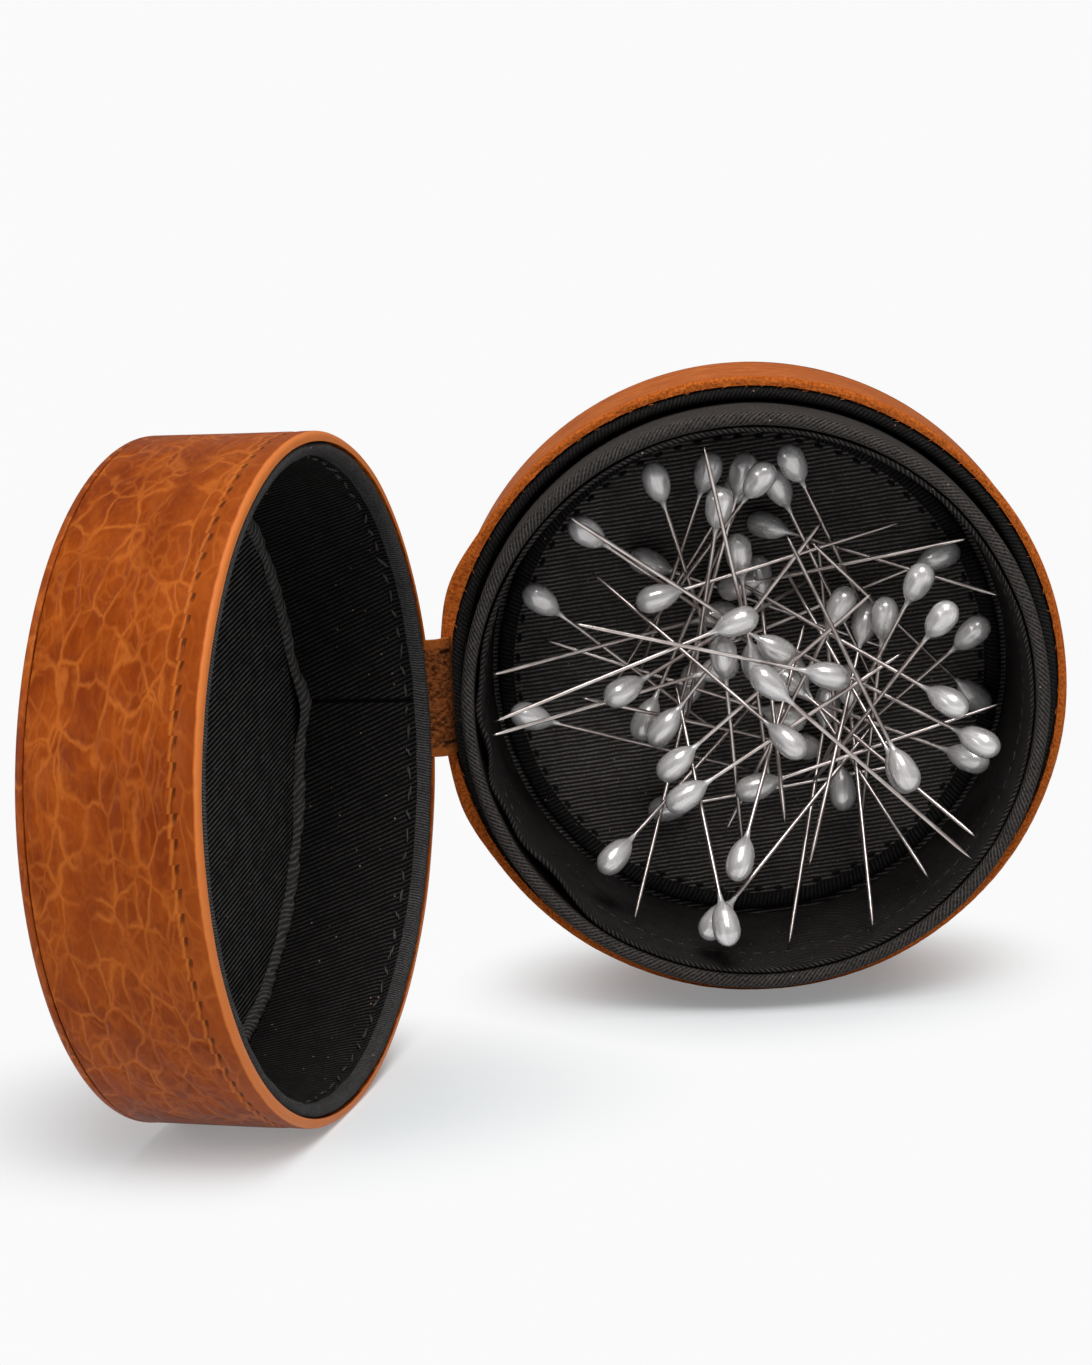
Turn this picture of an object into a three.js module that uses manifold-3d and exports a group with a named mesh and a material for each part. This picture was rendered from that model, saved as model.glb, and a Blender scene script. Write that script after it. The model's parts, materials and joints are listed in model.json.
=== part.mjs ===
// A round leather pin case, standing open on its side. The base has a magnet under its lining, with
// pearl-headed pins clinging to it, and a raised collar that plugs into the lid. A leather strap is
// the hinge. Sizes are in millimetres and angles in degrees, and +Z is up.
import * as THREE from 'three';
import Module from 'manifold-3d';
import { mergeVertices } from 'three/addons/utils/BufferGeometryUtils.js';

const wasm = await Module();
wasm.setup();

// The case as a whole
const caseRadius = 45;
const baseHeight = 24.3;
const lidHeight = 23.3;
const openAngle = 103;
const roundSides = 48;

// Layers, from the leather inwards
const leather = 1.25;
const leatherEdge = 0.4;
const wallBoard = 1.15;
const floorBoard = 1.5;
const twill = 0.4;
const floorTwill = 0.5;
const rimHeight = 1.9;
const rimTurn = 0.15;
const glueLine = 0.1;
const clearance = 0.3;

// The collar that stands in the base and plugs into the lid
const collarHeight = 11.5;
const collarCover = 0.35;
const collarBoard = 1;
const collarPlay = 0.15;
const collarSlot = 0.6;
const liningFold = 0.6;
const liningDrop = 0.5;

// The magnet, the board round it, and the seams on the floors
const magnetHeight = 2.5;
const ringBoardWidth = 8;
const seamInset = 2.1;
const seamWidth = 2.4;
const seamHeight = 1.2;
const lidSeamWidth = 2.2;

// The hinge strap, let into the edges of both leather walls a little above their middle
const strapWidth = 17;
const strapLap = 7;
const strapRise = 1.5;
const strapSplit = 0.3;
const hingeOut = 0.5;
const hingeForward = 0.25;

// A pin: its wire, and the pearl drop on its end
const pinLength = 41;
const wireRadius = 0.3;
const pearlRadius = 2.1;
const pearlLength = 6.3;
const neckLength = 2;
const pointLength = 3;
const pinSides = 8;
const pinStep = pinLength / 82;

// Where each pin lies, as seen from the mouth with the hinge at the left, in the order they went in:
// its pearl across and up from the middle of the base, in hundredths of the hollow's radius, the way
// its point runs, and how far it leans. A lean above 0 lifts the pearl off the floor, and one below 0
// lifts the point.
const pinPlaces = [
  [44, -44, -58, -28],
  [21, -8, -39, -30],
  [29, -18, -104, -30],
  [39, -44, -88, -33],
  [83, 44, -160, 0],
  [5, 44, -87, -28],
  [34, -55, 93, 5],
  [-42, -55, 8, 0],
  [-10, -68, 70, 28],
  [23, 52, -16, -28],
  [-21, 0, -108, -30],
  [89, 21, -136, 22],
  [94, -23, 132, -20],
  [-8, 78, -100, 24],
  [-34, 89, -76, 26],
  [16, 91, -67, 27],
  [-10, 89, -110, 22],
  [47, 26, -108, -28],
  [52, 31, -97, 15],
  [26, -34, 159, -25],
  [16, 39, 14, -28],
  [78, -8, 151, 27],
  [65, 47, -115, 28],
  [-83, 42, -44, 23],
  [-65, 70, -42, 30],
  [-60, -65, 40, 32],
  [73, 34, -124, 30],
  [57, -39, 118, 30],
  [-91, -5, -22, 23],
  [89, -34, 161, 24],
  [89, -23, 155, 28],
  [10, 86, -126, 30],
  [-23, -89, 45, 24],
  [-13, -89, 100, 32],
  [-5, 5, -172, -28],
  [-5, 23, -173, -28],
  [-3, 57, -85, 10],
  [3, 0, 100, -25],
];

// Radii that follow from the layers. The collar is the widest that the lid's rim clears as it swings
// over it, so it follows from the hinge's reach and the height of the collar's widest line.
const wallInner = caseRadius - leather;
const boardOuter = wallInner - glueLine;
const lidBoardInner = boardOuter - wallBoard;
const lidLiningOuter = lidBoardInner - glueLine;
const lidLiningInner = lidLiningOuter - twill;
const lidRimInner = lidLiningInner - rimTurn / 2;
const collarThickness = collarBoard + 2 * collarCover + 2 * glueLine;
const hingeReach = caseRadius + hingeOut;
const collarRise = collarHeight - collarThickness / 2 - hingeForward;
const collarSweep = hingeReach + lidRimInner - collarPlay;
const collarOuter = Math.sqrt(collarSweep ** 2 - collarRise ** 2) - hingeReach;
const collarInner = collarOuter - collarThickness;
const baseRimInner = collarOuter + collarSlot;
const baseBoardInner = baseRimInner + rimTurn;
const liningOuter = collarInner - clearance;
const liningInner = liningOuter - liningFold;
const floorRadius = liningInner - glueLine;
const seamRadius = liningInner - seamInset;
const magnetRadius = floorRadius - ringBoardWidth - clearance;
const pinUnit = liningInner / 100;

// Heights along each half's own axis: its mouth is at 0 and its closed end is below
const baseBoardBottom = -baseHeight + leather + glueLine;
const baseBoardTop = baseBoardBottom + floorBoard;
const magnetBottom = baseBoardTop + glueLine;
const magnetTop = magnetBottom + magnetHeight;
const baseFloorBottom = magnetTop + glueLine;
const baseFloor = baseFloorBottom + floorTwill;
const lidBoardBottom = -lidHeight + leather + glueLine;
const lidBoardTop = lidBoardBottom + floorBoard;
const lidFloorBottom = lidBoardTop + glueLine;
const lidFloor = lidFloorBottom + floorTwill;
const liningTop = collarHeight - liningDrop;

const flatTurn = Math.PI / roundSides;

const finishes = {
  leather: { color: 0xb0561a, roughness: 0.5, metalness: 0 },
  twill: { color: 0x1d1c1b, roughness: 0.95, metalness: 0 },
  board: { color: 0x8d8068, roughness: 0.9, metalness: 0 },
  magnet: { color: 0x6c6f73, roughness: 0.45, metalness: 0.8 },
  pearl: { color: 0xe4e0da, roughness: 0.2, metalness: 0.1 },
};

// Keeps the corners only, joins those that meet, drops collapsed triangles and turns the faces out
function closed(geometry) {
  const bare = geometry.clone();
  bare.deleteAttribute('normal');
  bare.deleteAttribute('uv');
  const merged = mergeVertices(bare, 1e-4);
  const corners = merged.index.array;
  const position = merged.getAttribute('position');
  const kept = [];
  let volume = 0;
  const a = new THREE.Vector3();
  const b = new THREE.Vector3();
  const c = new THREE.Vector3();
  for (let i = 0; i < corners.length; i += 3) {
    const [p, q, r] = corners.slice(i, i + 3);
    if (p === q || q === r || r === p) continue;
    kept.push(p, q, r);
    a.fromBufferAttribute(position, p);
    b.fromBufferAttribute(position, q);
    c.fromBufferAttribute(position, r);
    volume += a.dot(b.cross(c));
  }
  merged.setIndex(volume < 0 ? kept.reverse() : kept);
  return merged;
}

// A solid of revolution about +Z from a closed outline of [radius, height] points
function turned(outline, sides = roundSides) {
  const points = outline.map(([radius, height]) => new THREE.Vector2(radius, height));
  if (outline[0][0] > 0) points.push(points[0].clone());
  const lathe = new THREE.LatheGeometry(points, sides, Math.PI / sides, 2 * Math.PI);
  lathe.rotateX(Math.PI / 2);
  return closed(lathe);
}

function tube(outer, inner, bottom, top) {
  return turned([[outer, bottom], [outer, top], [inner, top], [inner, bottom]]);
}

function disc(radius, bottom, top) {
  return turned([[0, bottom], [radius, bottom], [radius, top], [0, top]]);
}

// Half a circle from the outer edge over the top to the inner one, for rolled and folded rims
function roundTop(outer, inner, top, steps = 4) {
  const radius = (outer - inner) / 2;
  const points = [];
  for (let i = 0; i <= steps; i += 1) {
    const angle = (i * Math.PI) / steps;
    points.push([(outer + inner) / 2 + radius * Math.cos(angle), top - radius + radius * Math.sin(angle)]);
  }
  return points;
}

function toManifold(geometry) {
  const triVerts = Uint32Array.from(geometry.index.array);
  const vertProperties = Float32Array.from(geometry.getAttribute('position').array);
  return new wasm.Manifold(new wasm.Mesh({ numProp: 3, vertProperties, triVerts }));
}

function fromManifold(solid) {
  const mesh = solid.getMesh();
  const geometry = new THREE.BufferGeometry();
  geometry.setAttribute('position', new THREE.BufferAttribute(Float32Array.from(mesh.vertProperties), 3));
  geometry.setIndex(Array.from(mesh.triVerts));
  return geometry;
}

function named(name, geometry, finish) {
  const mesh = new THREE.Mesh(geometry, new THREE.MeshStandardMaterial(finishes[finish]));
  mesh.name = name;
  return mesh;
}

// The leather wall, closed end to mouth, with a pocket at the hinge that takes the strap
function leatherWall(height, hingeSide) {
  const bottom = -height + leather + glueLine;
  const wall = turned([
    [caseRadius, bottom],
    [caseRadius, -leatherEdge],
    [caseRadius - leatherEdge, 0],
    [wallInner, 0],
    [wallInner, bottom],
  ]);
  const depth = strapLap + clearance;
  const pocket = new THREE.BoxGeometry(4 * leather, strapWidth + 2 * clearance, 2 * depth);
  pocket.translate(hingeSide * (caseRadius - leather), strapRise, 0);
  return fromManifold(toManifold(wall).subtract(toManifold(closed(pocket))));
}

// The leather disc that covers a closed end, its outer edge rounded over
function leatherEnd(height) {
  return turned([
    [0, -height],
    [caseRadius - leatherEdge, -height],
    [caseRadius, -height + leatherEdge],
    [caseRadius, -height + leather],
    [0, -height + leather],
  ]);
}

// One leaf of the hinge strap: it follows the wall's curve and ends just short of the fold
function strapLeaf(hingeSide) {
  const outer = caseRadius;
  const inner = boardOuter + clearance;
  const half = Math.asin(strapWidth / 2 / caseRadius);
  const rise = Math.asin(strapRise / caseRadius);
  const middle = hingeSide > 0 ? rise : Math.PI - rise;
  const shape = new THREE.Shape();
  shape.absarc(0, 0, outer, middle - half, middle + half, false);
  shape.absarc(0, 0, inner, middle + half, middle - half, true);
  const top = hingeForward - strapSplit / 2;
  const leaf = new THREE.ExtrudeGeometry(shape, { depth: top + strapLap, bevelEnabled: false, curveSegments: 6 });
  leaf.translate(0, 0, -strapLap);
  return closed(leaf);
}

// A raised seam on a floor: a flat foot with a rounded back
function floorSeam(radius, width, floor) {
  const foot = floor + glueLine;
  const outer = radius + width / 2;
  const inner = radius - width / 2;
  const points = [[outer, foot]];
  for (const angle of [45, 90, 135]) {
    const turn = THREE.MathUtils.degToRad(angle);
    points.push([radius + (width / 2) * Math.cos(turn), foot + seamHeight * Math.sin(turn)]);
  }
  points.push([inner, foot]);
  return turned(points);
}

// The twill that is folded over the edge of a wall's board and shows as a black ring at the mouth
function rimBinding(inner) {
  const foot = -rimHeight;
  return turned([[boardOuter, foot], ...roundTop(boardOuter, inner, 0), [inner, foot]]);
}

// The twill cover of the collar: a deep fold over the collar's board
function collarCoverRing() {
  const skirtFoot = -baseHeight / 2;
  const outerInside = collarOuter - collarCover;
  const innerInside = collarInner + collarCover;
  const insideTop = collarHeight - collarThickness / 2;
  return turned([
    [collarOuter, skirtFoot],
    ...roundTop(collarOuter, collarInner, collarHeight),
    [collarInner, skirtFoot],
    [innerInside, skirtFoot],
    [innerInside, insideTop],
    [outerInside, insideTop],
    [outerInside, skirtFoot],
  ]);
}

function collarBoardRing() {
  const top = collarHeight - collarThickness / 2 - glueLine;
  return tube(collarOuter - collarCover - glueLine, collarInner + collarCover + glueLine, baseBoardTop + glueLine, top);
}

// The pin's outline from the round end of its pearl to its point: [radius, distance along]
const pinOutline = [
  [0, 0],
  [0.74 * pearlRadius, 0.1 * pearlLength],
  [pearlRadius, 0.38 * pearlLength],
  [0.77 * pearlRadius, 0.74 * pearlLength],
  [2 * wireRadius, pearlLength],
  [wireRadius, pearlLength + neckLength],
  [wireRadius, pinLength - pointLength],
  [0, pinLength],
];

function pinGeometry() {
  const pin = turned(pinOutline, pinSides);
  pin.rotateY(Math.PI / 2);
  return pin;
}

function pinRadiusAt(distance) {
  for (let i = 1; i < pinOutline.length; i += 1) {
    const [endRadius, end] = pinOutline[i];
    const [startRadius, start] = pinOutline[i - 1];
    if (distance <= end) return startRadius + ((endRadius - startRadius) * (distance - start)) / (end - start);
  }
  return 0;
}

// How far a point may slide along a direction and stay inside a circle about the middle
function slideRange(point, along, radius) {
  const nearest = point.dot(along);
  const room = nearest ** 2 - point.lengthSq() + radius ** 2;
  if (room < 0) return null;
  return [-nearest - Math.sqrt(room), -nearest + Math.sqrt(room)];
}

// Moves a pin along itself, and nearer the middle if it must, until both ends are clear of the lining
function insideLining(pearl, along, planLength) {
  const wall = liningInner * Math.cos(flatTurn) - clearance;
  let start = pearl.clone();
  for (;;) {
    const tip = start.clone().addScaledVector(along, planLength);
    const pearlRange = slideRange(start, along, wall - pearlRadius);
    const tipRange = slideRange(tip, along, wall - wireRadius);
    if (pearlRange && tipRange) {
      const low = Math.max(pearlRange[0], tipRange[0]);
      const high = Math.min(pearlRange[1], tipRange[1]);
      if (low <= high) return start.addScaledVector(along, THREE.MathUtils.clamp(0, low, high));
    }
    start = start.multiplyScalar(0.9);
  }
}

// Stations along a pin, with the radius at each and its height under the pearl's round end
function pinStations(start, along, lean) {
  const stations = [];
  for (let distance = 0; distance <= pinLength; distance += pinStep) {
    const place = start.clone().addScaledVector(along, distance * Math.cos(lean));
    stations.push({ x: place.x, y: place.y, drop: -distance * Math.sin(lean), radius: pinRadiusAt(distance) });
  }
  return stations;
}

// The lowest height at which a pin clears the floor and its seam
function floorHeightFor(stations) {
  let height = -Infinity;
  for (const { x, y, drop, radius } of stations) {
    const room = radius + clearance;
    const fromSeam = Math.abs(Math.hypot(x, y) - seamRadius);
    const ground = fromSeam < seamWidth / 2 + room ? baseFloor + glueLine + seamHeight : baseFloor;
    height = Math.max(height, ground + room - drop);
  }
  return height;
}

// The heights at which a pin would touch one that is already in
function blockedHeights(stations, other) {
  const spans = [];
  for (const mine of stations) {
    for (const theirs of other) {
      const reach = mine.radius + theirs.radius + clearance;
      const apart = (mine.x - theirs.x) ** 2 + (mine.y - theirs.y) ** 2;
      if (apart >= reach ** 2) continue;
      const half = Math.sqrt(reach ** 2 - apart);
      const level = theirs.height - mine.drop;
      spans.push([level - half, level + half]);
    }
  }
  return spans;
}

// The lowest free height at or above the floor's, so that a pin rests on the floor or on another pin
function settledHeight(stations, laid) {
  const spans = laid.flatMap((other) => blockedHeights(stations, other));
  spans.sort((one, two) => one[0] - two[0]);
  let height = floorHeightFor(stations);
  for (const [low, high] of spans) {
    if (low < height && height < high) height = high;
  }
  return height;
}

function pinMeshes() {
  const laid = [];
  return pinPlaces.map(([across, up, headingDegrees, leanDegrees], index) => {
    const heading = THREE.MathUtils.degToRad(headingDegrees);
    const lean = THREE.MathUtils.degToRad(leanDegrees);
    const along = new THREE.Vector2(Math.cos(heading), Math.sin(heading));
    const pearl = new THREE.Vector2(across, up).multiplyScalar(pinUnit);
    const start = insideLining(pearl, along, pinLength * Math.cos(lean));
    const stations = pinStations(start, along, lean);
    const height = settledHeight(stations, laid);
    laid.push(stations.map((station) => ({ ...station, height: height + station.drop })));
    const pin = named(`pin_${String(index + 1).padStart(2, '0')}`, pinGeometry(), 'pearl');
    pin.position.set(start.x, start.y, height);
    pin.rotation.set(0, lean, heading, 'ZYX');
    return pin;
  });
}

// The base in its own frame: its mouth faces +Z and its hinge is on the -X side
function baseHalf() {
  const half = new THREE.Group();
  const boardFoot = baseBoardTop + glueLine;
  half.add(
    named('base_leather_wall', leatherWall(baseHeight, -1), 'leather'),
    named('base_leather_bottom', leatherEnd(baseHeight), 'leather'),
    named('base_bottom_board', disc(boardOuter, baseBoardBottom, baseBoardTop), 'board'),
    named('base_wall_board', tube(boardOuter, baseBoardInner, boardFoot, -rimHeight - glueLine), 'board'),
    named('base_rim_binding', rimBinding(baseRimInner), 'twill'),
    named('collar_board', collarBoardRing(), 'board'),
    named('collar_cover', collarCoverRing(), 'twill'),
    named('base_wall_lining', turned([
      [liningOuter, boardFoot],
      ...roundTop(liningOuter, liningInner, liningTop, 2),
      [liningInner, boardFoot],
    ]), 'twill'),
    named('magnet', disc(magnetRadius, magnetBottom, magnetTop), 'magnet'),
    named('magnet_ring_board', tube(floorRadius, floorRadius - ringBoardWidth, magnetBottom, magnetTop), 'board'),
    named('base_floor_lining', disc(floorRadius, baseFloorBottom, baseFloor), 'twill'),
    named('base_floor_seam', floorSeam(seamRadius, seamWidth, baseFloor), 'twill'),
    named('hinge_strap_base', strapLeaf(-1), 'leather'),
    ...pinMeshes(),
  );
  half.rotation.x = Math.PI / 2;
  half.position.set(hingeReach, hingeForward, 0);
  return half;
}

// The lid in its own frame: its mouth faces +Z and its hinge is on the +X side
function lidHalf() {
  const half = new THREE.Group();
  const boardFoot = lidBoardTop + glueLine;
  half.add(
    named('lid_leather_wall', leatherWall(lidHeight, 1), 'leather'),
    named('lid_leather_top', leatherEnd(lidHeight), 'leather'),
    named('lid_top_board', disc(boardOuter, lidBoardBottom, lidBoardTop), 'board'),
    named('lid_wall_board', tube(boardOuter, lidBoardInner, boardFoot, -rimHeight - glueLine), 'board'),
    named('lid_rim_binding', rimBinding(lidRimInner), 'twill'),
    named('lid_wall_lining', tube(lidLiningOuter, lidLiningInner, boardFoot, -rimHeight - glueLine), 'twill'),
    named('lid_floor_lining', disc(lidLiningInner - glueLine, lidFloorBottom, lidFloor), 'twill'),
    named('lid_floor_seam', floorSeam(lidLiningInner - glueLine - lidSeamWidth / 2, lidSeamWidth, lidFloor), 'twill'),
    named('hinge_strap_lid', strapLeaf(1), 'leather'),
  );
  half.rotation.x = Math.PI / 2;
  half.position.set(-hingeReach, hingeForward, 0);
  return half;
}

// Both halves stand on their walls about one upright hinge line, and the middle of the ground that
// they cover is the origin
const pinCase = new THREE.Group();
const lidSwing = new THREE.Group();
lidSwing.rotation.z = THREE.MathUtils.degToRad(180 - openAngle);
lidSwing.add(lidHalf());
pinCase.add(baseHalf(), lidSwing);
const ground = new THREE.Box3().setFromObject(pinCase, true);
const middle = ground.getCenter(new THREE.Vector3());
pinCase.position.set(-middle.x, -middle.y, -ground.min.z);

export default pinCase;
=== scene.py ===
# %% [markdown]
# A round leather pin case, standing open on its side. The solid model gives the frame: where each part
# is, how big it is, and how the lid swings. This scene dresses that frame. It makes the leather, the
# twill linings, the seams, the strap and the pins again with finer shapes, and gives each a finish.

# %% Load the solid model
import json
import math

import bmesh
import bpy
import numpy as np
from mathutils import Matrix, Vector, noise


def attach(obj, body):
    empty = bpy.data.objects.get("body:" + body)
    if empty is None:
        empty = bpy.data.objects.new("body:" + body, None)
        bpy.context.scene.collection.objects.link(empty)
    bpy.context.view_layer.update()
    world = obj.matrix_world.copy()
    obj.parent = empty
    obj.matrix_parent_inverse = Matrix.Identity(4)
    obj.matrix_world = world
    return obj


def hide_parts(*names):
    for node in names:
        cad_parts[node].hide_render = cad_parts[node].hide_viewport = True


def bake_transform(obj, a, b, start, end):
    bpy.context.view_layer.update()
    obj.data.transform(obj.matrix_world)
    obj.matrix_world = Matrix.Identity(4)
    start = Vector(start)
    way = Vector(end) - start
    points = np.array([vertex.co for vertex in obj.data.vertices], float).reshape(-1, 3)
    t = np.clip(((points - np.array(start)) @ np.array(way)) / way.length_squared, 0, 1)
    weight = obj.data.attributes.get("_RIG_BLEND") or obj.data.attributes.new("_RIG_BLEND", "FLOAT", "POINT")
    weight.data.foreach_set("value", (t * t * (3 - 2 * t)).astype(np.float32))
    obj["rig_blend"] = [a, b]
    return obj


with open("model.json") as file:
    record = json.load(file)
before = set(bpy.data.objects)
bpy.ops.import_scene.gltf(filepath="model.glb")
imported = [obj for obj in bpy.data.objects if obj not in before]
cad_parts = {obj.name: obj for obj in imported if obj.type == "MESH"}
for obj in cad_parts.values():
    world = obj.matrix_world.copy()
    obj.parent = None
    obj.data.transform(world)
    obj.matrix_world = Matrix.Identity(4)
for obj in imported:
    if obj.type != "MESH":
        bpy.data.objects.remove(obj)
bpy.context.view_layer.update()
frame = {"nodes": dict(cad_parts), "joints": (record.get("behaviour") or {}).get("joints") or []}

print(len(frame["nodes"]), "nodes")

# %% [markdown]
# The sizes are those of the solid model, in metres. Only the few that set the layers are repeated
# here, and the rest follow from them in the same way.

# %% Sizes
mm = 0.001
case_radius = 45 * mm
base_height = 24.3 * mm
lid_height = 23.3 * mm
open_angle = math.radians(103)
leather = 1.25 * mm
glue = 0.1 * mm
twill = 0.4 * mm
wall_inner = case_radius - leather
binding_outer = wall_inner - glue
lid_lining = 42.4 * mm
lid_rim_inner = 41.925 * mm
collar_outer = 41.2 * mm
collar_inner = 39.3 * mm
collar_height = 11.5 * mm
base_rim_inner = 41.8 * mm
lining_outer = 39.0 * mm
lining_inner = 38.4 * mm
lining_top = 11.0 * mm
base_floor = -18.25 * mm
lid_floor = -19.85 * mm
floor_cloth = 0.5 * mm
seam_radius = 36.3 * mm
seam_width = 2.4 * mm
seam_height = 1.2 * mm
lid_seam_width = 2.2 * mm
strap_width = 17 * mm
strap_rise = 1.5 * mm
hinge_out = 0.5 * mm
hinge_forward = 0.25 * mm
hinge_reach = case_radius + hinge_out

# %% [markdown]
# Each half is round, so it is easiest to model about its own axis: the mouth lies in the plane z = 0,
# the closed end is below it, and x points away from the hinge in the base and towards it in the lid.
# One matrix for each half then stands it up on its wall, beside the hinge.

# %% Places of the two halves
hinge = Vector(frame["joints"][0]["pos_m"])
upright = Matrix.Rotation(math.pi / 2, 4, "X")
base_place = Matrix.Translation(hinge + Vector((hinge_reach, hinge_forward, 0))) @ upright
lid_swing = Matrix.Rotation(math.pi - open_angle, 4, "Z")
lid_axis = Matrix.Translation((-hinge_reach, hinge_forward, 0))
lid_place = Matrix.Translation(hinge) @ lid_swing @ lid_axis @ upright

# %% [markdown]
# The camera comes first, because every later choice is judged through it. A fit of the two round
# mouths in the picture gave its place and its turn: a long lens about 40 cm away, looking slightly
# down, and leaning over by three degrees.

# %% Camera
def add_camera(place, turn, pitch, roll, lens):
    """A camera that looks along +Y, turned about Z, tipped up or down by pitch and rolled."""
    data = bpy.data.cameras.new("camera")
    data.sensor_fit = "VERTICAL"
    data.sensor_height = 36
    data.lens = lens
    data.clip_start = 0.01
    camera = bpy.data.objects.new("camera", data)
    bpy.context.scene.collection.objects.link(camera)
    aim = Matrix.Rotation(turn, 4, "Z") @ Matrix.Rotation(math.pi / 2 + pitch, 4, "X")
    camera.matrix_world = Matrix.Translation(place) @ aim @ Matrix.Rotation(roll, 4, "Z")
    bpy.context.scene.camera = camera
    return camera


camera_place = Vector((13.5, -385.1, 129.1)) * mm
camera = add_camera(camera_place, turn=math.radians(2.9), pitch=math.radians(-11.06),
                    roll=math.radians(-3.38), lens=77.95)
print("camera at", tuple(round(x, 3) for x in camera.location))

# %% [markdown]
# The table, the world and all the finishes are made of nodes. A few helpers keep their code short. What
# a node gives out is a Value, so that sums of such values are written with plain signs, and each sign
# makes one Math node. Underscores in the names of inputs stand for spaces.

# %% Node helpers
class Value:
    """What a node gives out. Each sign between values makes a Math node in their tree."""

    def __init__(self, socket):
        self.socket = socket
        self.tree = socket.id_data

    def beside(self, name):
        """Another output of the same node."""
        return Value(self.socket.node.outputs[name])

    def __add__(self, other):
        return math_of("ADD", self, other)

    def __sub__(self, other):
        return math_of("SUBTRACT", self, other)

    def __mul__(self, other):
        return math_of("MULTIPLY", self, other)

    def __truediv__(self, other):
        return math_of("DIVIDE", self, other)

    def __pow__(self, other):
        return math_of("POWER", self, other)

    def __abs__(self):
        return math_of("ABSOLUTE", self)


def put(source, socket):
    """Wires a value into a socket, or sets the socket to a plain number, place or colour."""
    if isinstance(source, Value):
        source.tree.links.new(source.socket, socket)
    else:
        socket.default_value = source


def add_node(tree, kind, inputs=None, output=0, **settings):
    """A new node's output. inputs maps the names or numbers of its inputs to what goes in."""
    node = tree.nodes.new("ShaderNode" + kind)
    for key, setting in settings.items():
        setattr(node, key, setting)
    for key, source in (inputs or {}).items():
        put(source, node.inputs[key])
    return Value(node.outputs[output])


def tree_of(*parts):
    """The tree of the first value among some values, numbers and colours."""
    return next(part.tree for part in parts if isinstance(part, Value))


def math_of(operation, *parts):
    """A Math node's result."""
    return add_node(tree_of(*parts), "Math", dict(enumerate(parts)), operation=operation)


def vector_math(operation, *parts):
    """A Vector Math node's result."""
    return add_node(tree_of(*parts), "VectorMath", dict(enumerate(parts)), operation=operation)


def x_and_y(place):
    """The first two parts of a place."""
    x = add_node(place.tree, "SeparateXYZ", {"Vector": place})
    return x, x.beside("Y")


def stretched(place, scale):
    """A place with each of its parts scaled."""
    return add_node(place.tree, "Mapping", {"Vector": place, "Scale": scale})


def ramp(value, low, high, to_low=0.0, to_high=1.0):
    """A smooth step of a value, from one range to another."""
    inputs = {"Value": value, "From Min": low, "From Max": high, "To Min": to_low, "To Max": to_high}
    return add_node(value.tree, "MapRange", inputs, interpolation_type="SMOOTHSTEP")


def mixed(share, a, b):
    """A colour between two others."""
    return add_node(tree_of(share, a, b), "Mix", {0: share, 6: a, 7: b}, output=2, data_type="RGBA")


def noise_at(place, scale, detail=2.0, roughness=0.5):
    """Noise from 0 to 1, about 0.5."""
    inputs = {"Vector": place, "Scale": scale, "Detail": detail, "Roughness": roughness}
    return add_node(place.tree, "TexNoise", inputs)


def cells_at(place, scale, feature="F1"):
    """The distance from the point of each Voronoi cell, or from its edge."""
    return add_node(place.tree, "TexVoronoi", {"Vector": place, "Scale": scale}, feature=feature)


def bump(height, distance):
    """A normal from a height that runs from 0 to 1, distance metres deep."""
    return add_node(height.tree, "Bump", {"Height": height, "Distance": distance, "Strength": 1.0})


def start_group(name, results, **numbers):
    """A node group that takes a Vector and some numbers. Returns the node that takes its results,
    and the values of its inputs."""
    tree = bpy.data.node_groups.new(name, "ShaderNodeTree")
    new_socket = tree.interface.new_socket
    new_socket(name="Vector", in_out="INPUT", socket_type="NodeSocketVector")
    for label, usual in numbers.items():
        number = new_socket(name=label.replace("_", " "), in_out="INPUT", socket_type="NodeSocketFloat")
        number.default_value = usual
    for label in results:
        new_socket(name=label, in_out="OUTPUT", socket_type="NodeSocketFloat")
    given = tree.nodes.new("NodeGroupInput")
    values = [Value(given.outputs[i]) for i in range(1 + len(numbers))]
    return tree.nodes.new("NodeGroupOutput"), values


def end_group(out, **results):
    """Puts the results out of the group, and returns it."""
    for label, result in results.items():
        put(result, out.inputs[label])
    return out.id_data


def place_group(group, place, **numbers):
    """Sets a copy of a group in a material. Returns its results."""
    inputs = {label.replace("_", " "): number for label, number in numbers.items()}
    first = add_node(place.tree, "Group", {"Vector": place, **inputs}, node_tree=group)
    return [Value(output) for output in first.socket.node.outputs]


def colour(red, green, blue):
    """A colour as it reads on a screen, from 0 to 255, turned into the linear one that nodes take."""
    linear = []
    for part in (red, green, blue):
        share = part / 255
        linear.append(share / 12.92 if share <= 0.04045 else ((share + 0.055) / 1.055) ** 2.4)
    return (*linear, 1.0)


def start_material(name):
    """A material, and the two places that its pattern may follow: the map's and the object's."""
    material = bpy.data.materials.new(name)
    material.use_nodes = True
    coordinates = material.node_tree.nodes.new("ShaderNodeTexCoord")
    return material, Value(coordinates.outputs["UV"]), Value(coordinates.outputs["Object"])


def finished(material, **inputs):
    """The material, once those inputs of its Principled shader are set."""
    shader = material.node_tree.nodes["Principled BSDF"]
    for label, source in inputs.items():
        put(source, shader.inputs[label.replace("_", " ")])
    return material

# %% [markdown]
# The studio is a white table under soft light. The key lamp stands high in front, so that the pearls
# shine along their middles and the upper part of the base's inside stays dark. A larger lamp hangs
# overhead. A lamp at the left lights the lid's leather, and the lid keeps it out of the base. A low even
# fill comes from all round. The table shows white to the camera, and takes the shadow only in a pool
# under each half, which is where a bright studio leaves any.

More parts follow.
